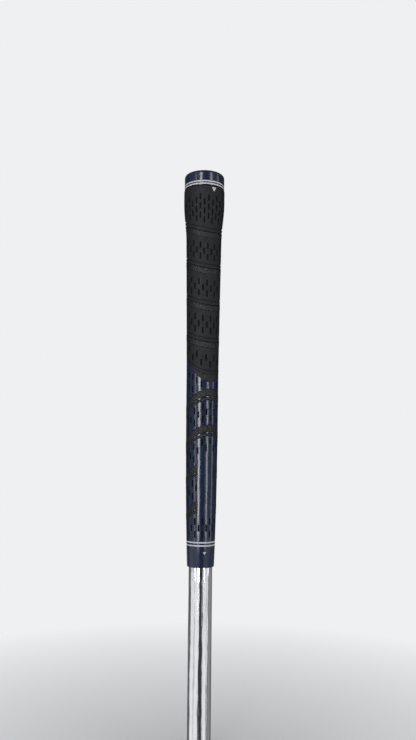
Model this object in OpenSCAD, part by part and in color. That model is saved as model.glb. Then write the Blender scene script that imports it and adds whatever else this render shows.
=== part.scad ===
// Two-compound golf grip on the butt section of its steel shaft.
// The shaft's axis is Z, its cut end stands at Z = 0 and the alignment marks face -Y.
// Heights on the lower half are measured up from the grip's mouth, and depths on the
// upper half down from the crown of its cap, so that either half keeps its own layout.

/* [Shaft and tape] */
// Outside diameter of the shaft at its butt
shaft_d = 15.24; // [14.5:0.02:16]
// Wall of the shaft
shaft_wall = 0.5; // [0.35:0.05:1]
// Bare length of shaft below the mouth
shaft_exposed = 125; // [60:1:200]
// Thickness of the double-sided tape
tape_t = 0.2; // [0.1:0.05:0.3]
// Bare shaft between the mouth and the start of the tape
tape_setback = 4; // [1:1:10]
// Width of the seam where the tape's long edges meet
tape_seam = 0.8; // [0.4:0.1:2]

/* [Grip outline] */
// Length of the grip from its mouth to the crown of its cap
grip_length = 262; // [256:1:275]
// Diameter at the mouth
mouth_d = 17.5; // [17.4:0.1:18.2]
// Diameter at the white rings over the mouth
ring_d = 18.45; // [18.4:0.05:18.8]
// Diameter at the foot of the front panel
panel_d = 19.9; // [19.4:0.1:20.4]
// Diameter under the lower sweep
belly_d = 20.8; // [20.5:0.1:21.2]
// Diameter where the black sleeve starts
waist_d = 21.2; // [20.9:0.1:21.8]
// Diameter half way up the black sleeve
middle_d = 22.2; // [21.8:0.1:22.8]
// Diameter at the neck, before the flare
neck_d = 23.8; // [23.2:0.1:24.4]
// Diameter at the widest part of the flare
flare_d = 27.5; // [26.8:0.1:28.2]
// Height above the mouth where the ring diameter is taken
ring_station_h = 14; // [12:1:16]
// Height above the mouth where the panel diameter is taken
panel_station_h = 45; // [40:1:50]
// Height above the mouth where the belly diameter is taken
belly_station_h = 81; // [75:1:90]
// Height above the mouth where the waist diameter is taken
waist_station_h = 128; // [120:1:135]
// Depth below the crown where the middle diameter is taken
middle_depth = 96; // [90:1:105]
// Depth of the neck below the crown
neck_depth = 46; // [42:1:50]
// Depth of the flare's widest part below the crown
flare_depth = 22; // [18:1:25]
// Rounding of the lip at the mouth
lip_r = 0.5; // [0.2:0.1:0.5]

/* [Core] */
// Diameter of the core at the mouth
core_mouth_d = 16.5; // [16.3:0.1:16.8]
// Diameter of the core at the cap
core_butt_d = 20.4; // [19:0.1:21]
// Glue line between bonded pieces
bond = 0.02; // [0:0.01:0.05]

/* [Cap] */
// Diameter of the cap
cap_d = 27; // [26.5:0.1:27.4]
// Height of the cap from its parting line to the crown
cap_h = 12; // [10:0.5:14]
// Rise of the crown above the cap's rim
crown_rise = 1.4; // [0.8:0.1:2]
// Rounding of the rim
rim_r = 2; // [1:0.1:2.5]
// Depth of the socket for the taped shaft end
socket_depth = 6; // [4:0.5:7]
// Diameter of the vent hole
vent_d = 2.6; // [2:0.1:4]
// Open groove between cap and sleeve
parting_gap = 0.4; // [0.3:0.1:0.6]

/* [White marks] */
// Width of each white ring in the cap
cap_ring_w = 1; // [0.8:0.1:1.1]
// Depth below the crown of the upper ring's middle
cap_ring_depth = 9.3; // [9:0.1:9.5]
// Distance between the two rings in the cap
cap_ring_pitch = 1.7; // [1.4:0.1:1.8]
// Width of each white ring over the mouth
mouth_ring_w = 1; // [0.8:0.1:1.2]
// Height of the lower ring's middle above the mouth
mouth_ring_h = 13.9; // [13:0.1:16]
// Distance between the two rings over the mouth
mouth_ring_pitch = 2; // [1.8:0.1:2.4]
// Depth of the white paint
paint_t = 0.4; // [0.2:0.05:0.5]
// How far the paint lies below the skin
paint_sink = 0.05; // [0:0.05:0.1]
// Width of the arrow under the cap
cap_arrow_w = 3.3; // [2:0.1:5]
// Height of the arrow under the cap
cap_arrow_h = 3; // [2:0.1:4]
// Depth of that arrow's base below the crown
cap_arrow_depth = 13.4; // [13:0.1:16]
// Width of the arrow on the mouth collar
mouth_arrow_w = 2.2; // [1.5:0.1:4]
// Height of the arrow on the mouth collar
mouth_arrow_h = 1.7; // [1.5:0.1:3]
// Height of that arrow's base above the mouth
mouth_arrow_base = 10.1; // [8:0.1:11]
// Turn of the mouth arrow from the front, as moulded
mouth_arrow_turn = -12; // [-15:1:15]

/* [Black bands] */
// Slant of the bands on the black sleeve
band_slant = 22; // [15:1:26]
// Depth below the crown of the first band's top groove, at the front
band_first_depth = 41; // [40:0.5:44]
// Height of the last band's top groove over the parting line, at the front
band_last_h = 29; // [27:0.5:31]
// Distance between a band's two grooves
groove_pitch = 2.6; // [2:0.1:3]
// Width of each groove
groove_w = 0.7; // [0.5:0.1:1]
// Depth of each groove
groove_t = 0.45; // [0.3:0.05:0.6]
// Height of each pebbled strip
strip_h = 4; // [3:0.1:4.5]
// Depth of the pebbled inlays
inlay_t = 0.6; // [0.4:0.05:0.7]
// Slant of the grooves over the parting line
transition_slant = 37; // [30:1:42]
// Slant of the parting line between black and navy
parting_slant = 53; // [45:1:56]
// Height of the parting line above the mouth, at the front
parting_h = 118.5; // [116:0.5:122]
// Height of the pebbled crescent at the front
crescent_h = 4.8; // [4:0.2:6]

/* [Sweeps] */
// Slant of the four sweeps
sweep_slant = 37; // [30:1:40]
// Navy rubber between the parting line and the first sweep, at the front
sweep_first_drop = 4.5; // [4:0.5:7]
// Height above the mouth of the last sweep's top edge, at the front
sweep_last_h = 44.5; // [43:0.5:48]
// Height of a sweep's wide stroke
wide_h = 4.6; // [4:0.1:5]
// Height of the navy line between its strokes
line_h = 0.9; // [0.5:0.1:1.2]
// Height of its narrow stroke
narrow_h = 1.8; // [1.2:0.1:2.2]
// Half the angle that the bare front panel takes
panel_half_angle = 43; // [36:1:50]
// Height of the panel's upper edge over the third sweep's top edge
panel_top_rise = 4.5; // [3:0.5:6]
// Height of the panel's lower edge above the mouth
panel_foot_h = 31; // [28:1:34]
// Bare rubber between the panel's sides and the slots, as an angle
panel_clear_angle = 3; // [2:0.5:6]

/* [Dash slots] */
// Length of a slot
slot_l = 4; // [3:0.1:4.4]
// Width of a slot
slot_w = 0.9; // [0.8:0.1:1.4]
// Depth of a slot
slot_t = 0.45; // [0.3:0.05:0.5]
// Least rubber between a slot's end and a groove, band or edge
slot_margin = 0.9; // [0.6:0.1:1.2]
// Rubber between a groove or band and the first slots over it
slot_lead = 2.2; // [1:0.1:3]
// Distance between the slots of a column on the flare
flare_slot_pitch = 6; // [5.5:0.1:7]
// Distance between the slots of a column under the first two bands
upper_slot_pitch = 7.4; // [6.5:0.1:8]
// Distance between the slots of a column on the lower half
lower_slot_pitch = 8; // [7:0.1:9]
// Bare rubber under the cap
bare_collar_h = 4; // [3:0.5:8]

/* [Hidden] */
$fn = 96;
margin = 1;      // how far a cut runs past the solid it cuts

mouth_z = shaft_exposed;
crown_z = mouth_z + grip_length;
rim_z = crown_z - crown_rise;
parting_z = crown_z - cap_h;
sleeve_top_z = parting_z - parting_gap;
shaft_top_z = parting_z + socket_depth - tape_t;
shaft_r = shaft_d / 2;
shaft_bore_r = shaft_r - shaft_wall;
tape_r = shaft_r + tape_t;
cap_r = cap_d / 2;
neck_z = crown_z - neck_depth;
flare_z = crown_z - flare_depth;
middle_z = crown_z - middle_depth;
cap_ring_r = cap_r - paint_sink;
cap_ring_z = crown_z - cap_ring_depth;
mouth_ring_z = mouth_z + mouth_ring_h;
mouth_ring_upper_z = mouth_ring_z + mouth_ring_pitch;
reach = 2 * flare_d;      // half width of the blocks that cut on a slant

// The skin's outline as [radius, height], from the mouth up to the parting line.
// The flare leaves the neck and meets the widest part on an S curve of five steps.
flare_steps = 5;
function ease(t) = t * t * (3 - 2 * t);
function flare_at(t) = [
    (neck_d + (flare_d - neck_d) * ease(t)) / 2,
    neck_z + (flare_z - neck_z) * t
];
stations = concat(
    [
        [mouth_d / 2, mouth_z],
        [ring_d / 2, mouth_z + ring_station_h],
        [panel_d / 2, mouth_z + panel_station_h],
        [belly_d / 2, mouth_z + belly_station_h],
        [waist_d / 2, mouth_z + waist_station_h],
        [middle_d / 2, middle_z]
    ],
    [for (i = [0:flare_steps]) flare_at(i / flare_steps)],
    [[flare_d / 2, sleeve_top_z]]
);

// Radius of the skin at a height
function skin_r(z) = lookup(z, [for (s = stations) [s[1], s[0]]]);

function reversed(list) = [for (i = [len(list) - 1:-1:0]) list[i]];
function grown(e) = [for (s = stations) [s[0] + e, s[1]]];

// A slanted cut is [height on the axis, rise per millimetre towards +Y].
// It is set by its height at the front, where the skin has the given height's radius.
function slanted(front_z, slant) = [front_z + tan(slant) * skin_r(front_z), tan(slant)];
function raised(cut, h) = [cut[0] + h, cut[1]];
function cut_z(cut, angle, r) = cut[0] - cut[1] * r * cos(angle);

// The four bands and the four sweeps are spaced evenly between their first and last.
parting_front_z = mouth_z + parting_h;
band_first_z = crown_z - band_first_depth;
band_pitch = (band_first_z - parting_front_z - band_last_h) / 3;
sweep_first_z = parting_front_z - sweep_first_drop;
sweep_pitch = (sweep_first_z - mouth_z - sweep_last_h) / 3;
crescent_cut = slanted(parting_front_z + crescent_h, transition_slant);
parting_cut = slanted(parting_front_z, parting_slant);
band_cuts = [for (i = [0:3]) slanted(band_first_z - i * band_pitch, band_slant)];
sweep_cuts = [for (i = [0:3]) slanted(sweep_first_z - i * sweep_pitch, -sweep_slant)];
panel_top_z = sweep_first_z - 2 * sweep_pitch + panel_top_rise;
panel_foot_z = mouth_z + panel_foot_h;
strip_drop = groove_pitch + groove_w / 2;
sweep_drop = wide_h + line_h + narrow_h;

// Everything under a slanted cut, down past the mouth
module under(cut) {
    deep = 2 * grip_length;
    translate([0, 0, cut[0]]) rotate([atan(cut[1]), 0, 0])
        translate([-reach, -deep, -deep]) cube([2 * reach, 2 * deep, deep]);
}

// The layer between two slanted cuts, h apart along the axis
module layer(cut, h) {
    translate([0, 0, cut[0]]) rotate([atan(cut[1]), 0, 0])
        translate([-reach, -reach, -h * cos(atan(cut[1]))])
            cube([2 * reach, 2 * reach, h * cos(atan(cut[1]))]);
}

// Ring under the skin, from depth inner to depth outer, both negative inwards
module skin_ring(inner, outer) {
    rotate_extrude() polygon(concat(grown(outer), reversed(grown(inner))));
}

// Channel that an inlay or a groove lies in
module channel(cut, h, depth) {
    intersection() {
        skin_ring(-depth, margin);
        layer(cut, h);
    }
}

module inlay(cut, h) {
    intersection() {
        skin_ring(-inlay_t + bond, 0);
        layer(raised(cut, -bond), h - 2 * bond);
    }
}

// Wedge over the bare front panel, which the lower sweeps stop at
module panel_wedge(half_angle) {
    side = [sin(half_angle), -cos(half_angle)];
    linear_extrude(height = crown_z)
        polygon([[0, 0], reach * [-side[0], side[1]], [0, -2 * reach], reach * side]);
}

// Whole wall between core and skin, from mouth to parting line
function core_r(z) = core_mouth_d / 2
    + (core_butt_d - core_mouth_d) / 2 * (z - mouth_z) / (parting_z - mouth_z);

module sleeve_wall() {
    lip = [[mouth_d / 2 - lip_r, mouth_z], [mouth_d / 2, mouth_z + lip_r]];
    above_lip = [for (i = [1:len(stations) - 1]) stations[i]];
    rotate_extrude() polygon(concat(
        [[core_r(mouth_z) + bond, mouth_z]], lip, above_lip,
        [[core_r(sleeve_top_z) + bond, sleeve_top_z]]
    ));
}

// One slot, its middle at height z
module slot(angle, z) {
    r = skin_r(z);
    rotate([0, 0, angle]) translate([-slot_w / 2, -r - margin, z - slot_l / 2])
        cube([slot_w, margin + slot_t, slot_l]);
}

function on_panel(angle, z) = cos(angle) > cos(panel_half_angle + panel_clear_angle)
    && z > panel_foot_z && z < panel_top_z;

// Staggered columns of slots between the cuts low and high, in rows along low. Every
// second column lies half a pitch higher. A slot that would meet a cut is left out.
module slot_field(low, high, pitch, columns, turn) {
    first = slot_l / 2 + slot_lead;
    near = slot_l / 2 + slot_margin;
    rows = ceil((high[0] - low[0] + 2 * reach) / pitch);
    for (i = [0:columns - 1], k = [0:rows - 1]) {
        angle = turn + i * 360 / columns;
        z = cut_z(low, angle, waist_d / 2) + first + (k + (i % 2) / 2) * pitch;
        if (z - near > cut_z(low, angle, skin_r(z)) && z + near < cut_z(high, angle, skin_r(z))
            && !on_panel(angle, z))
            slot(angle, z);
    }
}

strip_foot = strip_drop + strip_h;
top_limit = [sleeve_top_z - bare_collar_h, 0];
module upper_slots() {
    under_strips = [for (cut = band_cuts) raised(cut, -strip_foot)];
    slot_field(band_cuts[0], top_limit, flare_slot_pitch, 30, -3);
    slot_field(band_cuts[1], under_strips[0], upper_slot_pitch, 30, 9);
    slot_field(band_cuts[2], under_strips[1], upper_slot_pitch, 26, 12);
    slot_field(band_cuts[3], under_strips[2], lower_slot_pitch, 26, -1);
    slot_field(raised(crescent_cut, groove_pitch), under_strips[3], lower_slot_pitch, 22, 0);
}

ring_limit = [mouth_ring_upper_z + mouth_ring_w, 0];
module lower_slots() {
    under_sweeps = [for (cut = sweep_cuts) raised(cut, -sweep_drop)];
    slot_field(sweep_cuts[0], parting_cut, lower_slot_pitch, 22, 1);
    slot_field(sweep_cuts[1], under_sweeps[0], lower_slot_pitch, 24, 4);
    slot_field(sweep_cuts[2], under_sweeps[1], lower_slot_pitch, 24, 3);
    slot_field(sweep_cuts[3], under_sweeps[2], lower_slot_pitch, 24, -2);
    slot_field(ring_limit, under_sweeps[3], lower_slot_pitch, 24, 8);
}

// White ring set in a solid of radius r at height z
module ring(r, z, w, inset) {
    translate([0, 0, z - w / 2 + inset]) difference() {
        cylinder(r = r, h = w - 2 * inset);
        translate([0, 0, -margin]) cylinder(r = r - paint_t, h = w + 2 * margin);
    }
}

// Groove for that ring
module ring_groove(r, z, w) {
    translate([0, 0, z - w / 2]) difference() {
        cylinder(r = r + margin, h = w);
        translate([0, 0, -margin]) cylinder(r = r - paint_t - bond, h = w + 2 * margin);
    }
}

// Arrow that points down, as a prism through the front of the skin
module arrow(w, h, base_z, turn, inset) {
    rotate([0, 0, turn]) translate([0, 0, base_z]) rotate([90, 0, 0])
        linear_extrude(height = flare_d)
            polygon([[-w / 2 + 1.5 * inset, -inset], [w / 2 - 1.5 * inset, -inset], [0, -h + 2 * inset]]);
}

function mouth_ring_r(z) = skin_r(z - mouth_ring_w / 2) - paint_sink;

module steel_shaft() {
    color("silver") difference() {
        cylinder(r = shaft_r, h = shaft_top_z);
        translate([0, 0, -margin]) cylinder(r = shaft_bore_r, h = shaft_top_z + 2 * margin);
    }
}

// Tape from near the mouth to the butt, folded over the end of the tube
module grip_tape() {
    tape_z = mouth_z + tape_setback;
    tape_top_z = shaft_top_z + tape_t;
    color("wheat") difference() {
        translate([0, 0, tape_z]) cylinder(r = tape_r, h = tape_top_z - tape_z);
        translate([0, 0, tape_z - margin])
            cylinder(r = shaft_r + bond, h = shaft_top_z - tape_z + margin + bond);
        translate([0, 0, tape_z]) cylinder(r = shaft_bore_r, h = tape_top_z);
        translate([-tape_seam / 2, 0, tape_z - margin])
            cube([tape_seam, tape_r + margin, shaft_top_z - tape_z + margin]);
    }
}

module core_sleeve() {
    color("dimgray") rotate_extrude() polygon([
        [tape_r + bond, mouth_z], [core_r(mouth_z), mouth_z],
        [core_r(sleeve_top_z), sleeve_top_z], [tape_r + bond, sleeve_top_z]
    ]);
}

// Cap with a rounded rim, a domed crown, a socket for the shaft end and a vent hole
module end_cap() {
    steps = 6;
    rim = [for (i = [0:steps]) let (a = 90 * i / steps)
        [cap_r - rim_r + rim_r * cos(a), rim_z - rim_r + rim_r * sin(a)]];
    crown = [for (i = [1:steps]) let (t = i / steps)
        [(cap_r - rim_r) * (1 - t), rim_z + crown_rise * (1 - (1 - t) * (1 - t))]];
    color("midnightblue") difference() {
        rotate_extrude() polygon(concat([[0, parting_z], [cap_r, parting_z]], rim, crown));
        translate([0, 0, parting_z - margin]) cylinder(r = tape_r + bond, h = socket_depth + margin + bond);
        translate([0, 0, parting_z]) cylinder(r = vent_d / 2, h = cap_h + margin);
        ring_groove(cap_r, cap_ring_z, cap_ring_w);
        ring_groove(cap_r, cap_ring_z - cap_ring_pitch, cap_ring_w);
    }
}

module cap_ring_upper() {
    color("white") ring(cap_ring_r, cap_ring_z, cap_ring_w, bond);
}

module cap_ring_lower() {
    color("white") ring(cap_ring_r, cap_ring_z - cap_ring_pitch, cap_ring_w, bond);
}

module cap_arrow() {
    color("white") intersection() {
        skin_ring(-paint_t, -paint_sink);
        arrow(cap_arrow_w, cap_arrow_h, crown_z - cap_arrow_depth, 0, bond);
    }
}

// Black sleeve, cut on a slant at its foot
module upper_sleeve() {
    color("#2b2d2f") difference() {
        sleeve_wall();
        under(raised(parting_cut, bond));
        under(raised(crescent_cut, bond));
        for (cut = band_cuts) {
            channel(cut, groove_w, groove_t);
            channel(raised(cut, -groove_pitch), groove_w, groove_t);
            channel(raised(cut, -strip_drop), strip_h, inlay_t);
        }
        channel(raised(crescent_cut, groove_pitch), groove_w, groove_t);
        upper_slots();
        intersection() {
            skin_ring(-paint_t - bond, margin);
            arrow(cap_arrow_w, cap_arrow_h, crown_z - cap_arrow_depth, 0, 0);
        }
    }
}

module upper_band(i) {
    color("#26282a") inlay(raised(band_cuts[i], -strip_drop), strip_h);
}

module upper_band_1() upper_band(0);
module upper_band_2() upper_band(1);
module upper_band_3() upper_band(2);
module upper_band_4() upper_band(3);

// Crescent between the black sleeve's last groove and the navy sleeve
module transition_band() {
    color("#26282a") difference() {
        intersection() {
            under(crescent_cut);
            sleeve_wall();
        }
        under(raised(parting_cut, bond));
    }
}

// Navy sleeve with the channels of the four sweeps and the white marks
module lower_sleeve() {
    color("#242d45") difference() {
        intersection() {
            under(parting_cut);
            sleeve_wall();
        }
        for (cut = [sweep_cuts[0], sweep_cuts[1]]) sweep_channels(cut);
        for (cut = [sweep_cuts[2], sweep_cuts[3]]) difference() {
            sweep_channels(cut);
            panel_wedge(panel_half_angle);
        }
        lower_slots();
        ring_groove(mouth_ring_r(mouth_ring_z), mouth_ring_z, mouth_ring_w);
        ring_groove(mouth_ring_r(mouth_ring_upper_z), mouth_ring_upper_z, mouth_ring_w);
        intersection() {
            skin_ring(-paint_t - bond, margin);
            arrow(mouth_arrow_w, mouth_arrow_h, mouth_z + mouth_arrow_base, mouth_arrow_turn, 0);
        }
    }
}

module sweep_channels(cut) {
    channel(cut, wide_h, inlay_t);
    channel(raised(cut, -wide_h - line_h), narrow_h, inlay_t);
}

module wide_stroke(i) {
    color("#1c1e20") inlay(sweep_cuts[i], wide_h);
}

module narrow_stroke(i) {
    color("#1c1e20") inlay(raised(sweep_cuts[i], -wide_h - line_h), narrow_h);
}

// The two lower sweeps leave the front panel bare
panel_edge = panel_half_angle + bond;
module sweep_1_wide() wide_stroke(0);
module sweep_1_narrow() narrow_stroke(0);
module sweep_2_wide() wide_stroke(1);
module sweep_2_narrow() narrow_stroke(1);
module sweep_3_wide() difference() { wide_stroke(2); panel_wedge(panel_edge); }
module sweep_3_narrow() difference() { narrow_stroke(2); panel_wedge(panel_edge); }
module sweep_4_wide() difference() { wide_stroke(3); panel_wedge(panel_edge); }
module sweep_4_narrow() difference() { narrow_stroke(3); panel_wedge(panel_edge); }

module mouth_ring_upper() {
    color("white") ring(mouth_ring_r(mouth_ring_upper_z), mouth_ring_upper_z, mouth_ring_w, bond);
}

module mouth_ring_lower() {
    color("white") ring(mouth_ring_r(mouth_ring_z), mouth_ring_z, mouth_ring_w, bond);
}

module mouth_arrow() {
    color("white") intersection() {
        skin_ring(-paint_t, -paint_sink);
        arrow(mouth_arrow_w, mouth_arrow_h, mouth_z + mouth_arrow_base, mouth_arrow_turn, bond);
    }
}

steel_shaft();
grip_tape();
core_sleeve();
end_cap();
cap_ring_upper();
cap_ring_lower();
cap_arrow();
upper_sleeve();
upper_band_1();
upper_band_2();
upper_band_3();
upper_band_4();
transition_band();
lower_sleeve();
sweep_1_wide();
sweep_1_narrow();
sweep_2_wide();
sweep_2_narrow();
sweep_3_wide();
sweep_3_narrow();
sweep_4_wide();
sweep_4_narrow();
mouth_ring_upper();
mouth_ring_lower();
mouth_arrow();
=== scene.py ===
import math

import bpy
import numpy as np
from mathutils import Matrix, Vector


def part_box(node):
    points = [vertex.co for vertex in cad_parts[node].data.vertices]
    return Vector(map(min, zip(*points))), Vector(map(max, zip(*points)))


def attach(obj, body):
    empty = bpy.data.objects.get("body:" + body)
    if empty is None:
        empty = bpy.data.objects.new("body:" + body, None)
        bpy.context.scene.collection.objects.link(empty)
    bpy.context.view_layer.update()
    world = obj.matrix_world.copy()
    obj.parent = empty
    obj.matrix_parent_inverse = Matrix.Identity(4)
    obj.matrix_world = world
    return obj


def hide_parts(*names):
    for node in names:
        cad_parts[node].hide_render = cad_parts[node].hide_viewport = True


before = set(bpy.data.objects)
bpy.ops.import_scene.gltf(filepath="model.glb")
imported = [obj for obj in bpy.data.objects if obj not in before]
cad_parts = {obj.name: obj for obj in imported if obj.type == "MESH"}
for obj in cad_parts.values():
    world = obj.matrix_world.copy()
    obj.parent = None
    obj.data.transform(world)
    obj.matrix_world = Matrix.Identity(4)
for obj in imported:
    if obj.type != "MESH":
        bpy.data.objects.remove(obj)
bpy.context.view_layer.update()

# Everything is worked out in millimetres and turned into metres when a mesh is made.
# An angle phi starts at the front, -Y, and grows towards +X.
toMetres = 0.001
lineCount = 360
turn = 2 * np.pi


def heightsOf(node):
    low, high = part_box(node)
    return low.z / toMetres, high.z / toMetres


def widthOf(node):
    low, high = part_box(node)
    return (high.x - low.x) / toMetres


mouthZ = heightsOf("lower_sleeve")[0]
partingZ, crownZ = heightsOf("end_cap")
sleeveTopZ = heightsOf("upper_sleeve")[1]
shaftTopZ = heightsOf("steel_shaft")[1]
capR = widthOf("end_cap") / 2
flareR = widthOf("upper_sleeve") / 2
shaftR = widthOf("steel_shaft") / 2
coreButtR = widthOf("core_sleeve") / 2
tapeR = widthOf("grip_tape") / 2

outline = {
    "mouthD": 17.5, "ringD": 18.45, "ringH": 14.0, "panelD": 19.9, "panelH": 45.0,
    "bellyD": 20.8, "bellyH": 81.0, "waistD": 21.2, "waistH": 128.0,
    "middleD": 22.2, "middleDepth": 96.0, "neckD": 23.8, "neckDepth": 46.0,
    "flareDepth": 22.0, "flareSteps": 5, "softening": 9.0,
    "easeStep": 0.25, "coreMouthD": 16.5, "bond": 0.02, "seam": 0.01, "lip": 0.5,
}


def easeInOut(t):
    return t * t * (3 - 2 * t)


def outlinePoints():
    o = outline
    points = [
        (mouthZ, o["mouthD"] / 2),
        (mouthZ + o["ringH"], o["ringD"] / 2),
        (mouthZ + o["panelH"], o["panelD"] / 2),
        (mouthZ + o["bellyH"], o["bellyD"] / 2),
        (mouthZ + o["waistH"], o["waistD"] / 2),
        (crownZ - o["middleDepth"], o["middleD"] / 2),
    ]
    neckZ = crownZ - o["neckDepth"]
    flareZ = crownZ - o["flareDepth"]
    for step in range(o["flareSteps"] + 1):
        t = step / o["flareSteps"]
        radius = o["neckD"] / 2 + (flareR - o["neckD"] / 2) * easeInOut(t)
        points.append((neckZ + (flareZ - neckZ) * t, radius))
    points.append((sleeveTopZ, flareR))
    return points


plainZ, plainR = (np.array(column) for column in zip(*outlinePoints()))


def plainRadius(z):
    return np.interp(z, plainZ, plainR)


# The same outline with its corners eased, by a running average that keeps both ends.
def easedOutline():
    step = outline["easeStep"]
    reach = outline["softening"] / 2
    z = np.arange(mouthZ - reach, sleeveTopZ + reach, step)
    footSlope = (plainR[1] - plainR[0]) / (plainZ[1] - plainZ[0])
    radius = plainRadius(z) + np.minimum(z - mouthZ, 0) * footSlope
    weights = np.hanning(int(2 * reach / step) | 1)
    pad = len(weights) // 2
    padded = np.pad(radius, pad, mode="edge")
    return z, np.convolve(padded, weights / weights.sum(), mode="valid")


easedZ, easedR = easedOutline()


def skinRadius(z):
    return np.minimum(np.interp(z, easedZ, easedR), flareR)


def coreRadius(z):
    low = outline["coreMouthD"] / 2
    return low + (coreButtR - low) * (z - mouthZ) / (partingZ - mouthZ)


# A cut is (height on the axis, rise per millimetre towards +Y).
def slantedCut(frontZ, slant):
    rise = math.tan(math.radians(slant))
    return frontZ + rise * float(plainRadius(frontZ)), rise


def raised(cut, lift):
    return cut[0] + lift, cut[1]


skinRounds = 6      # passes in which a cut's height on the skin settles


def onSkin(cut, phi):
    z = np.full(np.shape(phi), cut[0], float)
    for _ in range(skinRounds):
        z = cut[0] - cut[1] * skinRadius(z) * np.cos(phi)
    return z


def atRadius(cut, phi, radius):
    return cut[0] - cut[1] * radius * np.cos(phi)


pattern = {
    "bandSlant": 22, "bandFirstDepth": 41.0, "bandLastH": 29.0,
    "groovePitch": 2.6, "grooveW": 0.7, "grooveDepth": 0.45, "stripH": 4.0,
    "inlayDepth": 0.6, "transitionSlant": 37, "partingSlant": 53, "partingH": 118.5,
    "crescentH": 4.8, "sweepSlant": 37, "sweepFirstDrop": 4.5, "sweepLastH": 44.5,
    "wideH": 4.6, "lineH": 0.9, "narrowH": 1.8,
    "panelAngle": 43, "panelTopRise": 4.5, "panelFootH": 31.0, "panelClear": 3,
    "openSweeps": 2, "channelEnd": 60,
}
seamLift = outline["bond"] + outline["seam"]
partingFront = mouthZ + pattern["partingH"]
bandFirst = crownZ - pattern["bandFirstDepth"]
bandPitch = (bandFirst - partingFront - pattern["bandLastH"]) / 3
sweepFirst = partingFront - pattern["sweepFirstDrop"]
sweepPitch = (sweepFirst - mouthZ - pattern["sweepLastH"]) / 3
crescentCut = slantedCut(partingFront + pattern["crescentH"], pattern["transitionSlant"])
partingCut = slantedCut(partingFront, pattern["partingSlant"])
bandCuts = [slantedCut(bandFirst - i * bandPitch, pattern["bandSlant"]) for i in range(4)]
sweepCuts = [slantedCut(sweepFirst - i * sweepPitch, -pattern["sweepSlant"]) for i in range(4)]
panelTopZ = sweepFirst - 2 * sweepPitch + pattern["panelTopRise"]
panelFootZ = mouthZ + pattern["panelFootH"]
stripDrop = pattern["groovePitch"] + pattern["grooveW"] / 2
stripFoot = stripDrop + pattern["stripH"]
sweepDrop = pattern["wideH"] + pattern["lineH"] + pattern["narrowH"]
panelHalf = math.radians(pattern["panelAngle"])

# Faces at the bottom of a slot deeper than 'dark' take the painted shade of the slots' floors.
slots = {
    "length": 4.0, "width": 0.9, "depth": 0.45, "margin": 0.9, "lead": 2.2,
    "wall": 0.12, "bareCollar": 4.0, "fromCut": 0.3, "dark": 0.15,
}
fieldReach = 4 * flareR      # how far past both cuts the rows of a field are tried
# The fields of slots from the foot up: pitch along the grip, columns, degrees turned
upperLayouts = [(8.0, 22, 0), (8.0, 26, -1), (7.4, 26, 12), (7.4, 30, 9), (6.0, 30, -3)]
lowerLayouts = [(8.0, 24, 8), (8.0, 24, -2), (8.0, 24, 3), (8.0, 24, 4), (8.0, 22, 1)]


# A field fills the skin between two cuts with staggered columns of slots. No slot of it
# crosses a third cut, where one is given.
def slotField(low, high, pitch, columns, turned, alsoOver):
    first = slots["length"] / 2 + slots["lead"]
    near = slots["length"] / 2 + slots["margin"]
    rows = math.ceil((high[0] - low[0] + 2 * fieldReach) / pitch)
    clear = math.cos(math.radians(pattern["panelAngle"] + pattern["panelClear"]))
    kept = []
    for column in range(columns):
        angle = math.radians(turned + column * 360 / columns)
        foot = atRadius(low, angle, outline["waistD"] / 2) + first
        for row in range(rows):
            z = foot + (row + (column % 2) / 2) * pitch
            radius = float(plainRadius(z))
            overLow = all(z - near > atRadius(cut, angle, radius)
                          for cut in (low, alsoOver or low))
            underHigh = z + near < atRadius(high, angle, radius)
            onPanel = math.cos(angle) > clear and panelFootZ < z < panelTopZ
            if overLow and underHigh and not onPanel:
                kept.append((angle, z))
    levels = []
    for half in range(2 * rows):
        middle = first + half * pitch / 2
        for end in (-slots["length"] / 2, slots["length"] / 2):
            levels += [middle + end - slots["wall"], middle + end + slots["wall"]]
    return {"low": low, "high": high, "kept": kept, "columns": columns,
            "turned": turned, "levels": sorted(levels)}


def fieldsBetween(feet, tops, layouts, alsoOver=None):
    return [slotField(low, high, *layout, alsoOver)
            for low, high, layout in zip(feet, tops, layouts)]


mouthRings = {"w": 1.0, "h": 13.9, "pitch": 2.0, "depth": 0.4, "sink": 0.05, "room": 0.06,
              "wall": 0.04, "sunk": 0.34}
ringLimit = (mouthZ + mouthRings["h"] + mouthRings["pitch"] + mouthRings["w"], 0.0)
topLimit = (sleeveTopZ - slots["bareCollar"], 0.0)
underStrips = [raised(cut, -stripFoot) for cut in bandCuts]
underSweeps = [raised(cut, -sweepDrop) for cut in sweepCuts]
overCrescent = raised(crescentCut, pattern["groovePitch"])
upperFields = fieldsBetween([overCrescent, *reversed(bandCuts)],
                            [*reversed(underStrips), topLimit], upperLayouts, partingCut)
lowerFields = fieldsBetween([ringLimit, *reversed(sweepCuts)],
                            [*reversed(underSweeps), partingCut], lowerLayouts)

evenLines = np.arange(lineCount) * turn / lineCount


# Five of the lines are gathered at each column: both walls of a slot and its middle. The
# second result is level across those five, so that the ends of a slot stay square.
def linesOf(field, radius):
    halfWidth = slots["width"] / 2
    anchors = []
    for column in range(-1, field["columns"] + 2):
        angle = math.radians(field["turned"]) + column * turn / field["columns"]
        middle = round(angle / turn * lineCount)
        offsets = (-halfWidth - slots["wall"], -halfWidth + slots["wall"], 0,
                   halfWidth - slots["wall"], halfWidth + slots["wall"])
        for place, offset in zip(range(-2, 3), offsets):
            anchors.append((middle + place, angle + offset / radius, angle))
    index, phi, columnPhi = zip(*anchors)
    every = np.arange(lineCount)
    return np.interp(every, index, phi), np.interp(every, index, columnPhi)


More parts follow.
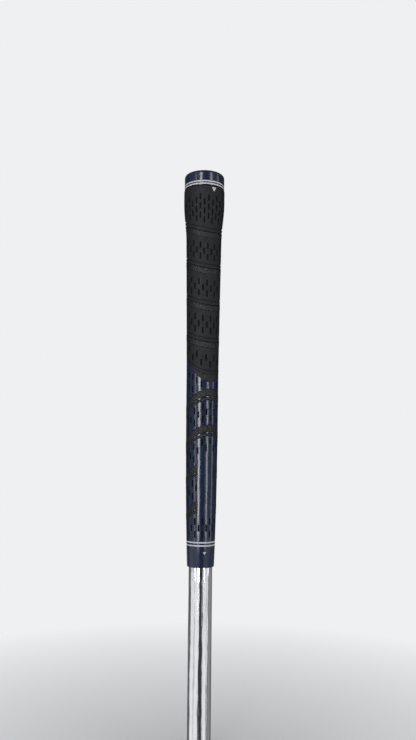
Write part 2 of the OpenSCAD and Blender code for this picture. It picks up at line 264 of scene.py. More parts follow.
def slotDepth(field, phi, z):
    depth = np.zeros(lineCount)
    wall = slots["wall"]
    for angle, middle in field["kept"]:
        if middle - slots["length"] > z.max() or middle + slots["length"] < z.min():
            continue
        across = np.abs((phi - angle + np.pi) % turn - np.pi) * skinRadius(middle)
        along = np.abs(z - middle)
        side = np.clip((slots["width"] / 2 + wall - across) / (2 * wall), 0, 1)
        end = np.clip((slots["length"] / 2 + wall - along) / (2 * wall), 0, 1)
        depth = np.maximum(depth, slots["depth"] * np.minimum(side, end))
    return depth


def pointsAt(phi, radius, z):
    phi, radius, z = np.broadcast_arrays(phi, radius, z)
    return np.stack([radius * np.sin(phi), -radius * np.cos(phi), z], axis=-1)


# loops[i][j] is a point on line j; i runs up the outside and back down the inside. Where
# depths are given too, the faces at the bottom of a slot take the second material: painted
# shade.
def meshFromLoops(name, loops, material, replaced, closed=True, sharp=35, sunk=None,
                  sunkShadeMaterial=None):
    loops = np.asarray(loops, float)
    rows, lines = loops.shape[:2]
    lastLine = lines if closed else lines - 1
    i = np.repeat(np.arange(rows), lastLine)
    j = np.tile(np.arange(lastLine), rows)
    up = (i + 1) % rows
    right = (j + 1) % lines
    quads = np.stack([i * lines + j, i * lines + right, up * lines + right, up * lines + j], 1)
    faces = [tuple(q) for q in quads.tolist()]
    if not closed:
        faces.append(tuple(k * lines for k in range(rows)))
        faces.append(tuple(k * lines + lines - 1 for k in reversed(range(rows))))
    mesh = bpy.data.meshes.new(name)
    mesh.from_pydata((loops.reshape(-1, 3) * toMetres).tolist(), [], faces)
    mesh.materials.append(material)
    if sunk is not None:
        mesh.materials.append(sunkShadeMaterial)
        meanDepth = (sunk[i, j] + sunk[i, right] + sunk[up, right] + sunk[up, j]) / 4
        mesh.polygons.foreach_set("material_index", (meanDepth > slots["dark"]).astype(np.int32))
    mesh.shade_smooth()
    mesh.set_sharp_from_angle(angle=math.radians(sharp))
    mesh.validate()
    piece = bpy.data.objects.new(name, mesh)
    bpy.context.scene.collection.objects.link(piece)
    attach(piece, "root")
    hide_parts(replaced)


rowSettings = {"wall": 0.1, "gap": 0.004, "allowance": 1e-6}


# Rows of one sleeve are collected from its foot to its top.
class SleeveRows:
    def __init__(self):
        self.rows = []

    def edge(self, z, depth=0.0):
        phi = evenLines
        self.rows.append((phi, np.array(z, float) + 0 * phi, depth + 0 * phi, False))

    def isSlotRow(self):
        return np.array([row[3] for row in self.rows])

    def cutRow(self, cut, depth=0.0):
        self.edge(onSkin(cut, evenLines), depth)

    # A groove or channel from its foot, at cut - height, up to the cut.
    def channel(self, cut, height, depth, wall=rowSettings["wall"], mask=1.0):
        foot = raised(cut, -height)
        self.cutRow(raised(foot, -wall))
        self.cutRow(raised(foot, wall), depth * mask)
        self.cutRow(raised(cut, -wall), depth * mask)
        self.cutRow(raised(cut, wall))

    def slotRows(self, field):
        low = onSkin(field["low"], evenLines)
        high = onSkin(field["high"], evenLines)
        radius = float(skinRadius((low.mean() + high.mean()) / 2))
        phi, columnPhi = linesOf(field, radius)
        low = onSkin(field["low"], phi) + slots["fromCut"]
        high = onSkin(field["high"], phi) - slots["fromCut"]
        base = atRadius(field["low"], columnPhi, outline["waistD"] / 2)
        for level in field["levels"]:
            z = base + level
            if (z > high).all() or (z < low).all():
                continue
            z = np.clip(z, low, high)
            self.rows.append((phi, z, slotDepth(field, phi, z), True))

    # Each row ends at least a small gap over the one before, between floor and ceiling.
    def finished(self, floor, ceiling):
        phi, z, depth = (np.array([row[k] for row in self.rows]) for k in range(3))
        gap = rowSettings["gap"]
        allowance = rowSettings["allowance"]
        outside = (z < floor - allowance) | (z > ceiling + allowance)
        depth = np.where(outside, 0, depth)
        count = len(z)
        steps = np.arange(count)[:, None] * gap
        z = np.clip(z, floor + steps, ceiling - steps[::-1])
        for k in range(1, count):
            z[k] = np.maximum(z[k], z[k - 1] + gap)
        return phi, np.minimum(z, ceiling - steps[::-1] / 2), depth


def channelMask():
    off = np.abs((evenLines + np.pi) % turn - np.pi)
    return np.clip((off - panelHalf) * pattern["channelEnd"] + 0.5, 0, 1)


def sleeveLoops(rows, floor, ceiling, footCut, topCut):
    phi, z, depth = rows.finished(floor, ceiling)
    outside = pointsAt(phi, skinRadius(z) - depth, z)
    topZ = atRadius(topCut, evenLines, coreRadius(topCut[0]))
    footZ = footCut(evenLines)
    inner = [pointsAt(evenLines, coreRadius(topZ) + outline["bond"], topZ),
             pointsAt(evenLines, coreRadius(footZ) + outline["bond"], footZ)]
    sunk = np.zeros((len(depth) + 2, lineCount))
    sunk[:len(depth)] = np.where(rows.isSlotRow()[:, None], depth, 0)
    return np.concatenate([outside, np.array(inner)]), sunk


def addLip(rows):
    for degrees in (0, 30, 60, 90):
        a = math.radians(degrees)
        inset = outline["lip"] * (1 - math.sin(a))
        rows.edge(mouthZ + outline["lip"] * (1 - math.cos(a)), inset)


# How the ends of the sleeves and the walls in the upper one ease; the collar's edge is
# given as drops from the top with the inset at each.
edges = {
    "fall": 0.25, "lowerInset": 0.18, "upperInset": 0.2, "stripWall": 0.05,
    "grooveWall": 0.08, "collar": [(0.4, 0.0), (0.1, 0.1), (0.0, 0.3)],
}


def buildLowerSleeve(material, slotShadeMaterial):
    rows = SleeveRows()
    addLip(rows)
    rings = mouthRings
    for k in range(2):
        top = (mouthZ + rings["h"] + k * rings["pitch"] + rings["w"] / 2 + rings["room"], 0.0)
        rows.channel(top, rings["w"] + 2 * rings["room"], rings["depth"], wall=rings["wall"])
    mask = channelMask()
    for k, cut in enumerate(reversed(sweepCuts)):
        rows.slotRows(lowerFields[k])
        part = mask if k < pattern["openSweeps"] else 1.0
        narrowTop = raised(cut, -pattern["wideH"] - pattern["lineH"])
        rows.channel(narrowTop, pattern["narrowH"], pattern["inlayDepth"], mask=part)
        rows.channel(cut, pattern["wideH"], pattern["inlayDepth"], mask=part)
    rows.slotRows(lowerFields[-1])
    ceiling = onSkin(partingCut, evenLines)
    rows.edge(ceiling - edges["fall"])
    rows.edge(ceiling, edges["lowerInset"])
    loops, sunk = sleeveLoops(rows, mouthZ, ceiling, lambda phi: mouthZ + 0 * phi, partingCut)
    meshFromLoops("lowerSleeve", loops, material, "lower_sleeve",
                  sunk=sunk, sunkShadeMaterial=slotShadeMaterial)


def upperFoot(phi):
    return np.maximum(onSkin(raised(partingCut, seamLift), phi),
                      onSkin(raised(crescentCut, seamLift), phi))


def upperFootInside(phi):
    radius = coreRadius(partingCut[0])
    return np.maximum(atRadius(partingCut, phi, radius), atRadius(crescentCut, phi, radius))


def buildUpperSleeve(material, slotShadeMaterial):
    rows = SleeveRows()
    foot = upperFoot(evenLines)
    rows.edge(foot, edges["upperInset"])
    rows.edge(foot + edges["fall"])
    p = pattern
    rows.channel(overCrescent, p["grooveW"], p["grooveDepth"])
    for k, cut in enumerate(reversed(bandCuts)):
        rows.slotRows(upperFields[k])
        strip = raised(cut, -stripDrop)
        rows.cutRow(raised(strip, -p["stripH"] - edges["stripWall"]))
        rows.cutRow(raised(strip, -p["stripH"] + edges["stripWall"]), p["inlayDepth"])
        rows.cutRow(strip, p["inlayDepth"])
        rows.cutRow(raised(cut, -p["groovePitch"] - edges["grooveWall"]), p["grooveDepth"])
        rows.cutRow(raised(cut, -p["groovePitch"] + edges["grooveWall"]))
        rows.channel(cut, p["grooveW"], p["grooveDepth"])
    rows.slotRows(upperFields[-1])
    for drop, inset in edges["collar"]:
        rows.edge(sleeveTopZ - drop, inset)
    ceiling = sleeveTopZ + 0 * evenLines
    loops, sunk = sleeveLoops(rows, foot, ceiling, upperFootInside, (sleeveTopZ, 0.0))
    meshFromLoops("upperSleeve", loops, material, "upper_sleeve",
                  sunk=sunk, sunkShadeMaterial=slotShadeMaterial)
pebbles = {"size": 0.95, "from": 0.15, "to": 0.85, "rows": 64, "firstRow": 20,
           "reach": 0.62, "middle": 0.55, "relief": 0.26}


# Pebbles: a dome on each point of a jittered grid that closes round the turn.
def pebbleHeight(phi, h, radius, seed):
    size = pebbles["size"]
    around = round(turn * radius / size)
    random = np.random.default_rng(seed)
    jitter = random.uniform(pebbles["from"], pebbles["to"], (around, pebbles["rows"], 2))
    u = (phi % turn) / turn * around
    v = h / size + pebbles["firstRow"]
    cellU = np.floor(u).astype(int)
    cellV = np.floor(v).astype(int)
    nearest = np.full(np.shape(u), np.inf)
    for du in (-1, 0, 1):
        for dv in (-1, 0, 1):
            seedAt = jitter[(cellU + du) % around, (cellV + dv) % pebbles["rows"]]
            offU = cellU + du + seedAt[..., 0] - u
            offV = cellV + dv + seedAt[..., 1] - v
            nearest = np.minimum(nearest, np.hypot(offU, offV))
    return np.clip(1 - (nearest / pebbles["reach"]) ** 2, 0, 1)


inlay = {"room": 0.05, "round": 0.18, "edge": 0.45, "step": 0.24, "lines": 330,
         "under": 0.03, "panelGap": 0.008, "bandSeed": 11, "wideSeed": 21, "narrowSeed": 31}


def inlayLoops(lowZ, highZ, phi, seed):
    height = float(np.max(highZ - lowZ))
    share = np.linspace(0, 1, int(height / inlay["step"]) + 1)[:, None]
    z = lowZ + inlay["room"] + (highZ - lowZ - 2 * inlay["room"]) * share
    toEdge = np.minimum(z - lowZ, highZ - z)
    rounding = inlay["round"] * (1 - np.clip(toEdge / inlay["edge"], 0, 1)) ** 2
    spread = np.broadcast_to(phi, z.shape)
    domes = pebbleHeight(spread, z - lowZ, float(skinRadius(lowZ.mean())), seed)
    outer = skinRadius(z) - rounding + pebbles["relief"] * (domes - pebbles["middle"])
    inner = skinRadius(z) - pattern["inlayDepth"] + inlay["under"]
    outside = pointsAt(spread, outer, z)
    inside = pointsAt(spread[[-1, 0]], inner[[-1, 0]], z[[-1, 0]])
    return np.concatenate([outside, inside])


def buildInlay(name, node, cut, height, seed, material, isOpen=False):
    lines = inlay["lines"]
    if isOpen:
        start = panelHalf + inlay["panelGap"]
        phi = np.linspace(start, turn - start, lines)
    else:
        phi = np.arange(lines) * turn / lines
    lowZ = onSkin(raised(cut, -height), phi)
    highZ = onSkin(cut, phi)
    loops = inlayLoops(lowZ, highZ, phi, seed)
    meshFromLoops(name, loops, material, node, closed=not isOpen, sharp=60)


def buildInlays(material):
    p = pattern
    for k in range(4):
        buildInlay(f"upperBand{k + 1}", f"upper_band_{k + 1}", raised(bandCuts[k], -stripDrop),
                   p["stripH"], inlay["bandSeed"] + k, material)
        cut = sweepCuts[k]
        isOpen = k >= 4 - p["openSweeps"]
        buildInlay(f"sweepWide{k + 1}", f"sweep_{k + 1}_wide", cut, p["wideH"],
                   inlay["wideSeed"] + k, material, isOpen)
        narrow = raised(cut, -p["wideH"] - p["lineH"])
        buildInlay(f"sweepNarrow{k + 1}", f"sweep_{k + 1}_narrow", narrow, p["narrowH"],
                   inlay["narrowSeed"] + k, material, isOpen)


crescent = {"reachShare": 0.985, "lines": 170, "rows": 24, "least": 0.03, "innerLeast": 0.02,
            "edge": 0.5, "round": 0.15, "under": 0.1, "pebbleLift": 8, "seed": 5}


# The crescent fills the front between the parting line and the black sleeve's foot.
def buildCrescent(material):
    c = crescent
    skin = float(skinRadius(partingFront))
    core = coreRadius(partingFront)
    cosReach = 1 - pattern["crescentH"] / (skin * (partingCut[1] - crescentCut[1]))
    reach = math.acos(cosReach) * c["reachShare"]
    phi = np.linspace(-reach, reach, c["lines"])
    lowZ = onSkin(raised(partingCut, seamLift), phi)
    highZ = np.maximum(onSkin(crescentCut, phi), lowZ + c["least"])
    share = np.linspace(0, 1, c["rows"] + 1)[:, None]
    z = lowZ + (highZ - lowZ) * share
    spread = np.broadcast_to(phi, z.shape)
    toEdge = np.minimum(z - lowZ, highZ - z)
    fade = np.clip(toEdge / c["edge"], 0, 1)
    domes = pebbleHeight(spread, z - partingFront + c["pebbleLift"], skin, c["seed"])
    rounding = c["round"] * (1 - fade) ** 2
    outer = skinRadius(z) - rounding + pebbles["relief"] * (domes - pebbles["middle"]) * fade
    outside = pointsAt(spread, outer, z)
    innerZ = np.stack([atRadius(crescentCut, phi, core), atRadius(partingCut, phi, core)])
    innerZ[0] = np.maximum(innerZ[0], innerZ[1] + c["innerLeast"])
    inside = pointsAt(np.broadcast_to(phi, innerZ.shape), core + c["under"], innerZ)
    loops = np.concatenate([outside, inside])
    meshFromLoops("crescent", loops, material, "transition_band",
                  closed=False, sharp=60)


latheLines = 192


def lathe(name, profile, material, node):
    phi = np.arange(latheLines) * turn / latheLines
    loops = [pointsAt(phi, radius, z + 0 * phi) for radius, z in profile]
    meshFromLoops(name, loops, material, node)


# The foot and the vent's lip are given by steps inwards and up, or outwards and down.
cap = {
    "rise": 1.4, "rim": 2.0, "rimSteps": 12, "domeSteps": 16, "domeFrom": 0.06,
    "ringW": 1.0, "ringDepth": 9.3, "ringPitch": 1.7, "ringSunk": 0.36, "paint": 0.4,
    "sink": 0.05, "room": 0.05, "wall": 0.05, "foot": [(0.25, 0), (0.06, 0.08), (0, 0.25)],
    "ventD": 2.6, "ventLip": [(0.35, 0.03), (0.1, 0.1), (0, 0.4)], "socket": 6.0, "fit": 0.02,
}


def arc(centreR, centreZ, radius, start, end, steps):
    angles = np.radians(np.linspace(start, end, steps + 1))
    return [(centreR + radius * math.cos(a), centreZ + radius * math.sin(a)) for a in angles]


def buildCap(material):
    rimZ = crownZ - cap["rise"]
    flatR = capR - cap["rim"]
    profile = [(capR - inset, partingZ + up) for inset, up in cap["foot"]]
    for k in (1, 0):
        middle = crownZ - cap["ringDepth"] - k * cap["ringPitch"]
        half = cap["ringW"] / 2 + cap["room"]
        profile += [(capR, middle - half - cap["wall"]), (capR - cap["paint"], middle - half),
                    (capR - cap["paint"], middle + half), (capR, middle + half + cap["wall"])]
    profile += arc(flatR, rimZ - cap["rim"], cap["rim"], 0, 90, cap["rimSteps"])
    ventR = cap["ventD"] / 2
    for t in np.linspace(cap["domeFrom"], 1, cap["domeSteps"]):
        radius = flatR * (1 - t)
        if radius > ventR + cap["ventLip"][0][0]:
            profile.append((radius, rimZ + cap["rise"] * (1 - (1 - t) ** 2)))
    profile += [(ventR + out, crownZ - down) for out, down in cap["ventLip"]]
    socketZ = partingZ + cap["socket"]
    socketR = tapeR + cap["fit"]
    profile += [(ventR, socketZ), (socketR, socketZ), (socketR, partingZ)]
    lathe("endCap", profile, material, "end_cap")


ring = {"room": 0.02, "ease": 0.1}


def buildRing(name, node, radius, middle, width, depth, material):
    half = width / 2 - ring["room"]
    ease = ring["ease"]
    profile = [(radius - depth, middle - half), (radius - ease, middle - half),
               (radius - ease / 3, middle - half + ease / 3), (radius, middle - half + ease),
               (radius, middle + half - ease), (radius - ease / 3, middle + half - ease / 3),
               (radius - ease, middle + half), (radius - depth, middle + half)]
    lathe(name, profile, material, node)


def buildRings(material):
    for k, place in enumerate(("Upper", "Lower")):
        middle = crownZ - cap["ringDepth"] - k * cap["ringPitch"]
        buildRing(f"capRing{place}", f"cap_ring_{place.lower()}", capR - cap["sink"], middle,
                  cap["ringW"], cap["ringSunk"], material)
    for k, place in enumerate(("Lower", "Upper")):
        middle = mouthZ + mouthRings["h"] + k * mouthRings["pitch"]
        radius = float(skinRadius(middle)) - mouthRings["sink"]
        buildRing(f"mouthRing{place}", f"mouth_ring_{place.lower()}", radius, middle,
                  mouthRings["w"], mouthRings["sunk"], material)


arrows = {
    "cap": {"w": 3.3, "h": 3.0, "base": crownZ - 13.4, "turned": 0},
    "mouth": {"w": 2.2, "h": 1.7, "base": mouthZ + 10.1, "turned": -12},
}
arrowSkin = {"proud": 0.03, "sunk": 0.3, "tip": 0.03, "lines": 15, "rows": 16}


# Arrows point down: a curved triangle that stands a hair over the skin.
def buildArrow(name, node, arrow, material):
    across = np.linspace(-1, 1, arrowSkin["lines"])
    share = np.linspace(arrowSkin["tip"], 1, arrowSkin["rows"])[:, None]
    z = arrow["base"] - arrow["h"] + arrow["h"] * share + 0 * across
    phi = math.radians(arrow["turned"]) + across * share * arrow["w"] / 2 / skinRadius(z)
    outside = pointsAt(phi, skinRadius(z) + arrowSkin["proud"], z)
    ends = [-1, 0]
    inside = pointsAt(phi[ends], skinRadius(z[ends]) - arrowSkin["sunk"], z[ends])
    loops = np.concatenate([outside, inside])
    meshFromLoops(name, loops, material, node, closed=False)


def buildArrows(material):
    for place, arrow in arrows.items():
        buildArrow(f"{place}Arrow", f"{place}_arrow", arrow, material)


shaft = {"wall": 0.5, "ease": 0.12, "first": 2, "last": 1, "rings": 60}


def buildShaft(material):
    ease = shaft["ease"]
    innerR = shaftR - shaft["wall"]
    levels = np.linspace(shaft["first"], shaftTopZ - shaft["last"], shaft["rings"])
    profile = [(innerR + ease, 0), (shaftR - ease, 0), (shaftR, ease)]
    profile += [(shaftR, z) for z in levels]
    profile += [(shaftR, shaftTopZ - ease), (shaftR - ease, shaftTopZ),
                (innerR + ease, shaftTopZ), (innerR, shaftTopZ - ease), (innerR, ease)]
    lathe("steelShaft", profile, material, "steel_shaft")


# Short ways to add nodes to one tree and join them. A socket is given a number or a link.
class Nodes:
    def __init__(self, tree, place):
        self.tree = tree
        self.place = tree.nodes.new("ShaderNodeTexCoord").outputs[place]

    def add(self, kind, sockets, **settings):
        node = self.tree.nodes.new(kind)
        for name, value in settings.items():
            setattr(node, name, value)
        for key, value in sockets.items():
            if isinstance(value, bpy.types.NodeSocket):
                self.tree.links.new(value, node.inputs[key])
            else:
                node.inputs[key].default_value = value
        return node

    def noise(self, scale, detail=3.0, stretch=(1, 1, 1), tilt=(0, 0, 0)):
        mapping = self.add("ShaderNodeMapping", {
            "Vector": self.place, "Scale": stretch, "Rotation": [math.radians(a) for a in tilt]})
        texture = self.add("ShaderNodeTexNoise", {
            "Vector": mapping.outputs["Vector"], "Scale": scale, "Detail": detail})
        return texture.outputs["Fac"]

    def ranged(self, value, low, high, fromLow=0.3, fromHigh=0.7):
        node = self.add("ShaderNodeMapRange", {
            "Value": value, "From Min": fromLow, "From Max": fromHigh,
            "To Min": low, "To Max": high})
        return node.outputs["Result"]

    def ramp(self, value, stops):
        node = self.add("ShaderNodeValToRGB", {"Fac": value})
        elements = node.color_ramp.elements
        while len(elements) < len(stops):
            elements.new(1.0)
        for element, (position, colour) in zip(elements, stops):
            element.position = position
            element.color = (*colour, 1)
        return node.outputs["Color"]

    def combine(self, operation, first, second):
        node = self.add("ShaderNodeMath", {0: first, 1: second}, operation=operation)
        return node.outputs["Value"]


class Shader(Nodes):
    def __init__(self, name, roughness, metallic=0.0, specular=0.5):
        self.material = bpy.data.materials.new(name)
        self.material.use_nodes = True
        super().__init__(self.material.node_tree, "Object")
        self.surface = self.tree.nodes["Principled BSDF"]
        self.surface.inputs["Roughness"].default_value = roughness
        self.surface.inputs["Metallic"].default_value = metallic
        self.surface.inputs["Specular IOR Level"].default_value = specular

    def drive(self, socket, value):
        self.tree.links.new(value, self.surface.inputs[socket])

    def bump(self, value, depth, strength, under=None):
        sockets = {"Height": value, "Strength": strength, "Distance": depth * toMetres}
        if under is not None:
            sockets["Normal"] = under
        normal = self.add("ShaderNodeBump", sockets).outputs["Normal"]
        self.drive("Normal", normal)
        return normal
# Charcoal rubber with short, faint cord fibres worked into it
def cordRubber():
    s = Shader("cordRubber", 0.7, specular=0.25)
    oneWay = s.noise(1500, 2, stretch=(1, 1, 0.35), tilt=(24, 12, 0))
    otherWay = s.noise(1500, 2, stretch=(1, 1, 0.4), tilt=(-40, -25, 0))
    fibres = s.combine("MAXIMUM", s.ranged(oneWay, 0, 1, 0.60, 0.72),
                       s.ranged(otherWay, 0, 1, 0.61, 0.73))
    s.drive("Base Color", s.ramp(fibres, [
        (0.0, (0.0124, 0.0138, 0.0152)), (0.5, (0.0158, 0.0173, 0.0188)),
        (1.0, (0.025, 0.0268, 0.0285))]))
    s.drive("Roughness", s.ranged(s.noise(300), 0.60, 0.76))
    grain = s.bump(s.noise(2600, 4), 0.04, 0.6)
    s.bump(fibres, 0.03, 0.5, under=grain)
    return s.material


# Black pebbled rubber: the tops of the pebbles are worn a little smoother
def pebbledRubber():
    s = Shader("pebbledRubber", 0.45, specular=0.3)
    s.drive("Base Color", s.ramp(s.noise(1100, 3), [
        (0.35, (0.0060, 0.0066, 0.0073)), (0.65, (0.0170, 0.0180, 0.0192))]))
    s.drive("Roughness", s.ranged(s.noise(900), 0.36, 0.56))
    s.bump(s.noise(3200, 3), 0.03, 0.5)
    return s.material


# Painted shade: near-black, rough floors for the slots stand in for the shade inside them
def slotShadePaint():
    s = Shader("slotShadePaint", 0.85, specular=0.12)
    s.drive("Base Color", s.ramp(s.noise(900, 3), [
        (0.3, (0.003, 0.0032, 0.0036)), (0.7, (0.008, 0.0084, 0.009))]))
    s.drive("Roughness", s.ranged(s.noise(700), 0.78, 0.92))
    s.bump(s.noise(2400, 3), 0.03, 0.5)
    return s.material


# Glossy navy rubber, a little wavy, with the faint haze that handling leaves
def navyRubber():
    s = Shader("navyRubber", 0.2, specular=0.5)
    s.drive("Base Color", s.ramp(s.noise(60, 3), [
        (0.3, (0.0105, 0.0190, 0.050)), (0.7, (0.0140, 0.0240, 0.061))]))
    s.drive("Roughness", s.ranged(s.noise(220, 2), 0.16, 0.22))
    wave = s.bump(s.noise(120, 2, stretch=(1, 1, 0.7)), 0.45, 0.5)
    s.bump(s.noise(2500, 2), 0.002, 0.4, under=wave)
    return s.material


def whitePaint():
    s = Shader("whitePaint", 0.45)
    s.drive("Base Color", s.ramp(s.noise(500, 3), [
        (0.3, (0.56, 0.57, 0.59)), (0.7, (0.66, 0.67, 0.69))]))
    s.drive("Roughness", s.ranged(s.noise(900), 0.38, 0.55))
    s.bump(s.noise(1500, 3), 0.02, 0.4)
    return s.material


# Chrome, a little wavy, with drawn marks along the tube and fine polishing marks round it
def chrome():
    s = Shader("chrome", 0.1, metallic=1.0)
    s.drive("Base Color", s.ramp(s.noise(80, 2), [
        (0.3, (0.80, 0.81, 0.83)), (0.7, (0.86, 0.87, 0.88))]))
    s.drive("Roughness", s.ranged(s.noise(900, 3, stretch=(0.15, 0.15, 1)), 0.06, 0.14))
    wave = s.bump(s.noise(90, 2, stretch=(1, 1, 0.45)), 1.0, 0.55)
    drawn = s.bump(s.noise(620, 4, stretch=(1, 1, 0.08)), 0.13, 0.6, under=wave)
    s.bump(s.noise(1400, 3, stretch=(0.1, 0.1, 1)), 0.003, 0.3, under=drawn)
    return s.material


def coreRubber():
    s = Shader("coreRubber", 0.75)
    s.drive("Base Color", s.ramp(s.noise(400, 3), [
        (0.3, (0.040, 0.040, 0.044)), (0.7, (0.056, 0.056, 0.062))]))
    s.drive("Roughness", s.ranged(s.noise(500), 0.65, 0.85))
    s.bump(s.noise(1800, 3), 0.03, 0.5)
    return s.material


# Paper-backed tape: a crossed weave of fine threads
def gripTape():
    s = Shader("gripTape", 0.7)
    threads = s.combine("MAXIMUM", s.noise(1500, 2, stretch=(0.1, 0.1, 1)),
                        s.noise(1500, 2, stretch=(1, 1, 0.1)))
    s.drive("Base Color", s.ramp(threads, [
        (0.4, (0.70, 0.64, 0.52)), (0.7, (0.87, 0.82, 0.70))]))
    s.drive("Roughness", s.ranged(s.noise(600), 0.6, 0.82))
    s.bump(threads, 0.03, 0.6)
    return s.material


def dress(node, material):
    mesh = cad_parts[node].data
    mesh.materials.clear()
    mesh.materials.append(material)


camera = {"x": -0.2191, "y": -0.4122, "z": 0.2008, "azimuth": -28.0, "yaw": 0.44,
          "pitch": 6.30, "roll": 0.573, "lens": 22.907, "sensor": 24.0, "clip": 0.01}


def buildCamera():
    yaw, pitch, roll = (math.radians(camera[k]) for k in ("yaw", "pitch", "roll"))
    ahead = np.array([math.sin(yaw) * math.cos(pitch), math.cos(yaw) * math.cos(pitch),
                      math.sin(pitch)])
    right = np.array([math.cos(yaw), -math.sin(yaw), 0])
    over = np.cross(right, ahead)
    side = math.cos(roll) * right + math.sin(roll) * over
    top = -math.sin(roll) * right + math.cos(roll) * over
    axes = Matrix(np.stack([side, top, -ahead], axis=1).tolist()).to_4x4()
    turned = Matrix.Rotation(math.radians(camera["azimuth"]), 4, "Z")
    data = bpy.data.cameras.new("camera")
    data.sensor_fit = "VERTICAL"
    data.sensor_height = camera["sensor"]
    data.lens = camera["lens"]
    data.clip_start = camera["clip"]
    eye = bpy.data.objects.new("camera", data)
    bpy.context.scene.collection.objects.link(eye)
    eye.matrix_world = Matrix.Translation(
        (camera["x"], camera["y"], camera["z"])) @ turned @ axes
    bpy.context.scene.camera = eye


pale = (0.86, 0.87, 0.88)
roomBlue = 1.02      # the room's blue over its red and green
# Azimuth from the front, in degrees, and how bright the room is there
room = [(-180, 0.55), (-166, 0.12), (-132, 0.12), (-126, 0.90), (-38, 0.90), (-32, 0.05),
        (-4, 0.05), (3, 0.90), (46, 0.90), (53, 0.15), (58, 0.15), (66, 0.32), (98, 0.32),
        (108, 0.14), (140, 0.14), (160, 0.55), (180, 0.55)]
# In gloss the room dims from the first of these heights to the second, to the given share
roomDims = {"from": -0.165, "to": -0.13, "share": 0.32}
# The edges of what the room shows wander by up to this angle, and lean with the height
roomWander = {"scale": 7.0, "detail": 5.0, "degrees": 9.0, "leanFrom": -0.34,
              "leanDegrees": 4.0}
# Upright streaks, where the room is between this share of its level and all of it
roomStreaks = {"scale": 8.0, "detail": 4.0, "stretch": 0.12, "share": 0.5,
               "low": 0.36, "high": 0.52}


def buildWorld():
    world = bpy.data.worlds.new("studio")
    bpy.context.scene.world = world
    world.use_nodes = True
    n = Nodes(world.node_tree, "Generated")
    parts = n.add("ShaderNodeSeparateXYZ", {"Vector": n.place}).outputs
    azimuth = n.combine("ARCTAN2", parts["X"], n.combine("MULTIPLY", parts["Y"], -1))
    wide = math.radians(roomWander["degrees"])
    wander = n.ranged(n.noise(roomWander["scale"], roomWander["detail"]), -wide, wide)
    lean = n.ranged(parts["Z"], math.radians(roomWander["leanDegrees"]), 0.0,
                    roomWander["leanFrom"], roomDims["from"])
    shifted = n.combine("ADD", azimuth, n.combine("ADD", wander, lean))
    stops = [((degrees + 180) / 360, (level, level, level * roomBlue))
             for degrees, level in room]
    shown = n.ramp(n.ranged(shifted, 0, 1, -math.pi, math.pi), stops)
    streaks = n.noise(roomStreaks["scale"], roomStreaks["detail"],
                      stretch=(1, 1, roomStreaks["stretch"]))
    streakLevel = n.ranged(streaks, roomStreaks["share"], 1.0,
                           roomStreaks["low"], roomStreaks["high"])
    streaked = n.add("ShaderNodeVectorMath", {0: shown, "Scale": streakLevel},
                     operation="SCALE")
    seen = n.add("ShaderNodeLightPath", {}).outputs
    height = n.ranged(parts["Z"], 0, 1, roomDims["from"], roomDims["to"])
    dimmed = n.combine("MULTIPLY", height, seen["Is Glossy Ray"])
    mix = n.add("ShaderNodeMix", {
        "Factor": seen["Is Camera Ray"], "A": streaked.outputs["Vector"],
        "B": (*pale, 1)}, data_type="RGBA")
    background = n.tree.nodes["Background"].inputs
    n.tree.links.new(n.ranged(dimmed, 1.0, roomDims["share"], 0, 1), background["Strength"])
    n.tree.links.new(mix.outputs["Result"], background["Color"])


# Tall, narrow soft boxes give the long streaks and show in gloss alone. They reach a little
# under the floor's level. A broad box in front fills the shade.
lamps = [
    {"name": "stripLeft", "azimuth": -48, "level": 12, "width": 0.30},
    {"name": "stripFarLeft", "azimuth": -78, "level": 3.4, "width": 0.20},
    {"name": "stripRight", "azimuth": 12, "level": 8, "width": 0.22},
    {"name": "stripFarRight", "azimuth": 55, "level": 2.3, "width": 0.24},
]
strip = {"distance": 1.4, "foot": -0.12, "top": 1.05}
fill = {"azimuth": -28, "distance": 1.3, "z": 0.75, "aimZ": 0.25, "size": 1.1, "level": 1.6}


def addLamp(name, azimuth, distance, z, width, height, level, tilt=0.0):
    data = bpy.data.lights.new(name, "AREA")
    data.shape = "RECTANGLE"
    data.size = width
    data.size_y = height
    data.energy = level * math.pi * width * height
    light = bpy.data.objects.new(name, data)
    bpy.context.scene.collection.objects.link(light)
    light.visible_camera = False
    a = math.radians(azimuth)
    spot = Matrix.Translation((distance * math.sin(a), -distance * math.cos(a), z))
    light.matrix_world = spot @ Matrix.Rotation(a, 4, "Z") @ Matrix.Rotation(
        math.pi / 2 - tilt, 4, "X")
    return light


def buildLamps():
    middle = (strip["foot"] + strip["top"]) / 2
    height = strip["top"] - strip["foot"]
    for lamp in lamps:
        light = addLamp(lamp["name"], lamp["azimuth"], strip["distance"], middle,
                        lamp["width"], height, lamp["level"])
        light.visible_diffuse = False
    tilt = math.atan2(fill["z"] - fill["aimZ"], fill["distance"])
    light = addLamp("fill", fill["azimuth"], fill["distance"], fill["z"], fill["size"],
                    fill["size"], fill["level"], tilt)
    light.visible_glossy = False


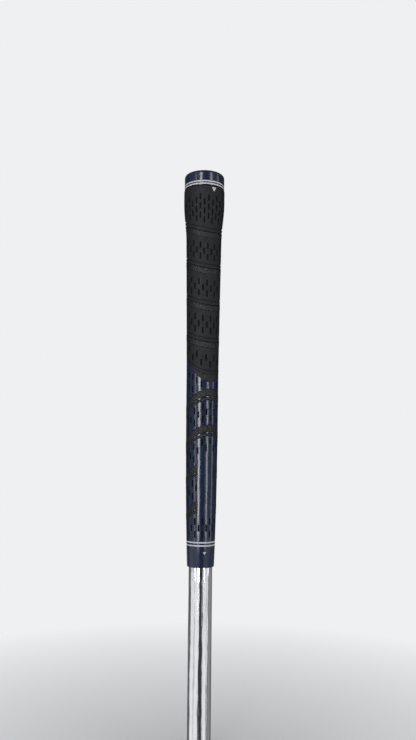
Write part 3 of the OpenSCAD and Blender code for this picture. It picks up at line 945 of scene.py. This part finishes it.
floorSettings = {"radius": 3.0, "fadeFrom": 0.02, "fadeTo": 0.38, "sides": 96}


# The floor keeps the object's shadow near its foot, and further out turns into the pale room.
def floorMaterial():
    s = Shader("floorPaint", 0.9, specular=0.1)
    s.drive("Base Color", s.ramp(s.noise(6, 2), [(0.3, (0.84, 0.85, 0.86)), (0.7, pale)]))
    length = s.add("ShaderNodeVectorMath", {0: s.place}, operation="LENGTH")
    far = s.ranged(length.outputs["Value"], 0, 1, floorSettings["fadeFrom"],
                   floorSettings["fadeTo"])
    seen = s.add("ShaderNodeLightPath", {})
    both = s.combine("MULTIPLY", far, seen.outputs["Is Camera Ray"])
    glow = s.add("ShaderNodeEmission", {"Color": (*pale, 1)})
    mix = s.add("ShaderNodeMixShader", {
        0: both, 1: s.surface.outputs["BSDF"], 2: glow.outputs["Emission"]})
    output = s.tree.nodes["Material Output"]
    s.tree.links.new(mix.outputs["Shader"], output.inputs["Surface"])
    return s.material


def buildFloor():
    radius = floorSettings["radius"]
    angles = np.linspace(0, turn, floorSettings["sides"], endpoint=False)
    corners = [(radius * math.sin(a), -radius * math.cos(a), 0) for a in angles]
    mesh = bpy.data.meshes.new("floor")
    mesh.from_pydata(corners, [], [tuple(range(len(corners)))])
    mesh.materials.append(floorMaterial())
    floor = bpy.data.objects.new("floor", mesh)
    bpy.context.scene.collection.objects.link(floor)
    floor.visible_glossy = False


bpy.context.scene.view_settings.view_transform = "Standard"
buildCamera()
buildWorld()
buildLamps()
buildFloor()
print("stage: camera, room, lamps and floor")

navy = navyRubber()
black = pebbledRubber()
white = whitePaint()
# Painted shade for the floors of the slots, on both sleeves
shadeInSlots = slotShadePaint()
buildLowerSleeve(navy, shadeInSlots)
buildUpperSleeve(cordRubber(), shadeInSlots)
print("sleeves: lower and upper")
buildInlays(black)
buildCrescent(black)
print("inlays: bands, sweeps and crescent")
buildCap(navy)
buildRings(white)
buildArrows(white)
print("cap and white marks")
buildShaft(chrome())
dress("core_sleeve", coreRubber())
dress("grip_tape", gripTape())
print("shaft, core and tape")
